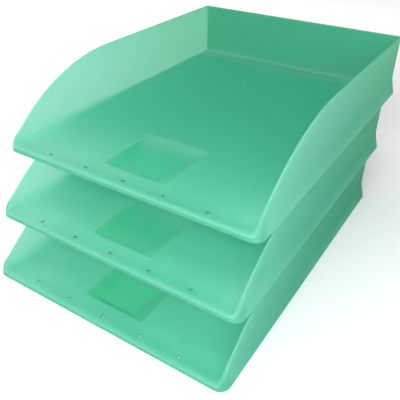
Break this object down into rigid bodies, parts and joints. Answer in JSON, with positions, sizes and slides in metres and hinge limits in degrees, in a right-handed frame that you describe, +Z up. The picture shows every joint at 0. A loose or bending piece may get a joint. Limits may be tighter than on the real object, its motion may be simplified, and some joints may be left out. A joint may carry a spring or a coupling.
{
  "type": "stack of letter trays",
  "caption": "Stack of open-fronted letter trays in translucent plastic, each set back on the rim of the one below, with swept side walls and a finger recess for lifting out paper.",
  "frame": {"origin": "centre of the whole stack's footprint, on the surface the lowest tray stands on", "axes": "+X to the right seen from the open front, +Y to the rear wall, +Z up"},
  "size_m": [0.262, 0.38, 0.184],
  "materials": {
    "mint_plastic": "translucent mint-green injection-moulded polystyrene with a satin surface"
  },
  "bodies": {
    "lower_tray": {"lower_tray": "mint_plastic"},
    "middle_tray": {"middle_tray": "mint_plastic"},
    "upper_tray": {"upper_tray": "mint_plastic"}
  },
  "joints": [
    {"name": "middle_lift", "type": "slide", "parent": "lower_tray", "child": "middle_tray", "axis": [0, 0, 1], "range_m": [0, 0.12]},
    {"name": "upper_lift", "type": "slide", "parent": "middle_tray", "child": "upper_tray", "axis": [0, 0, 1], "range_m": [0, 0.12]}
  ]
}
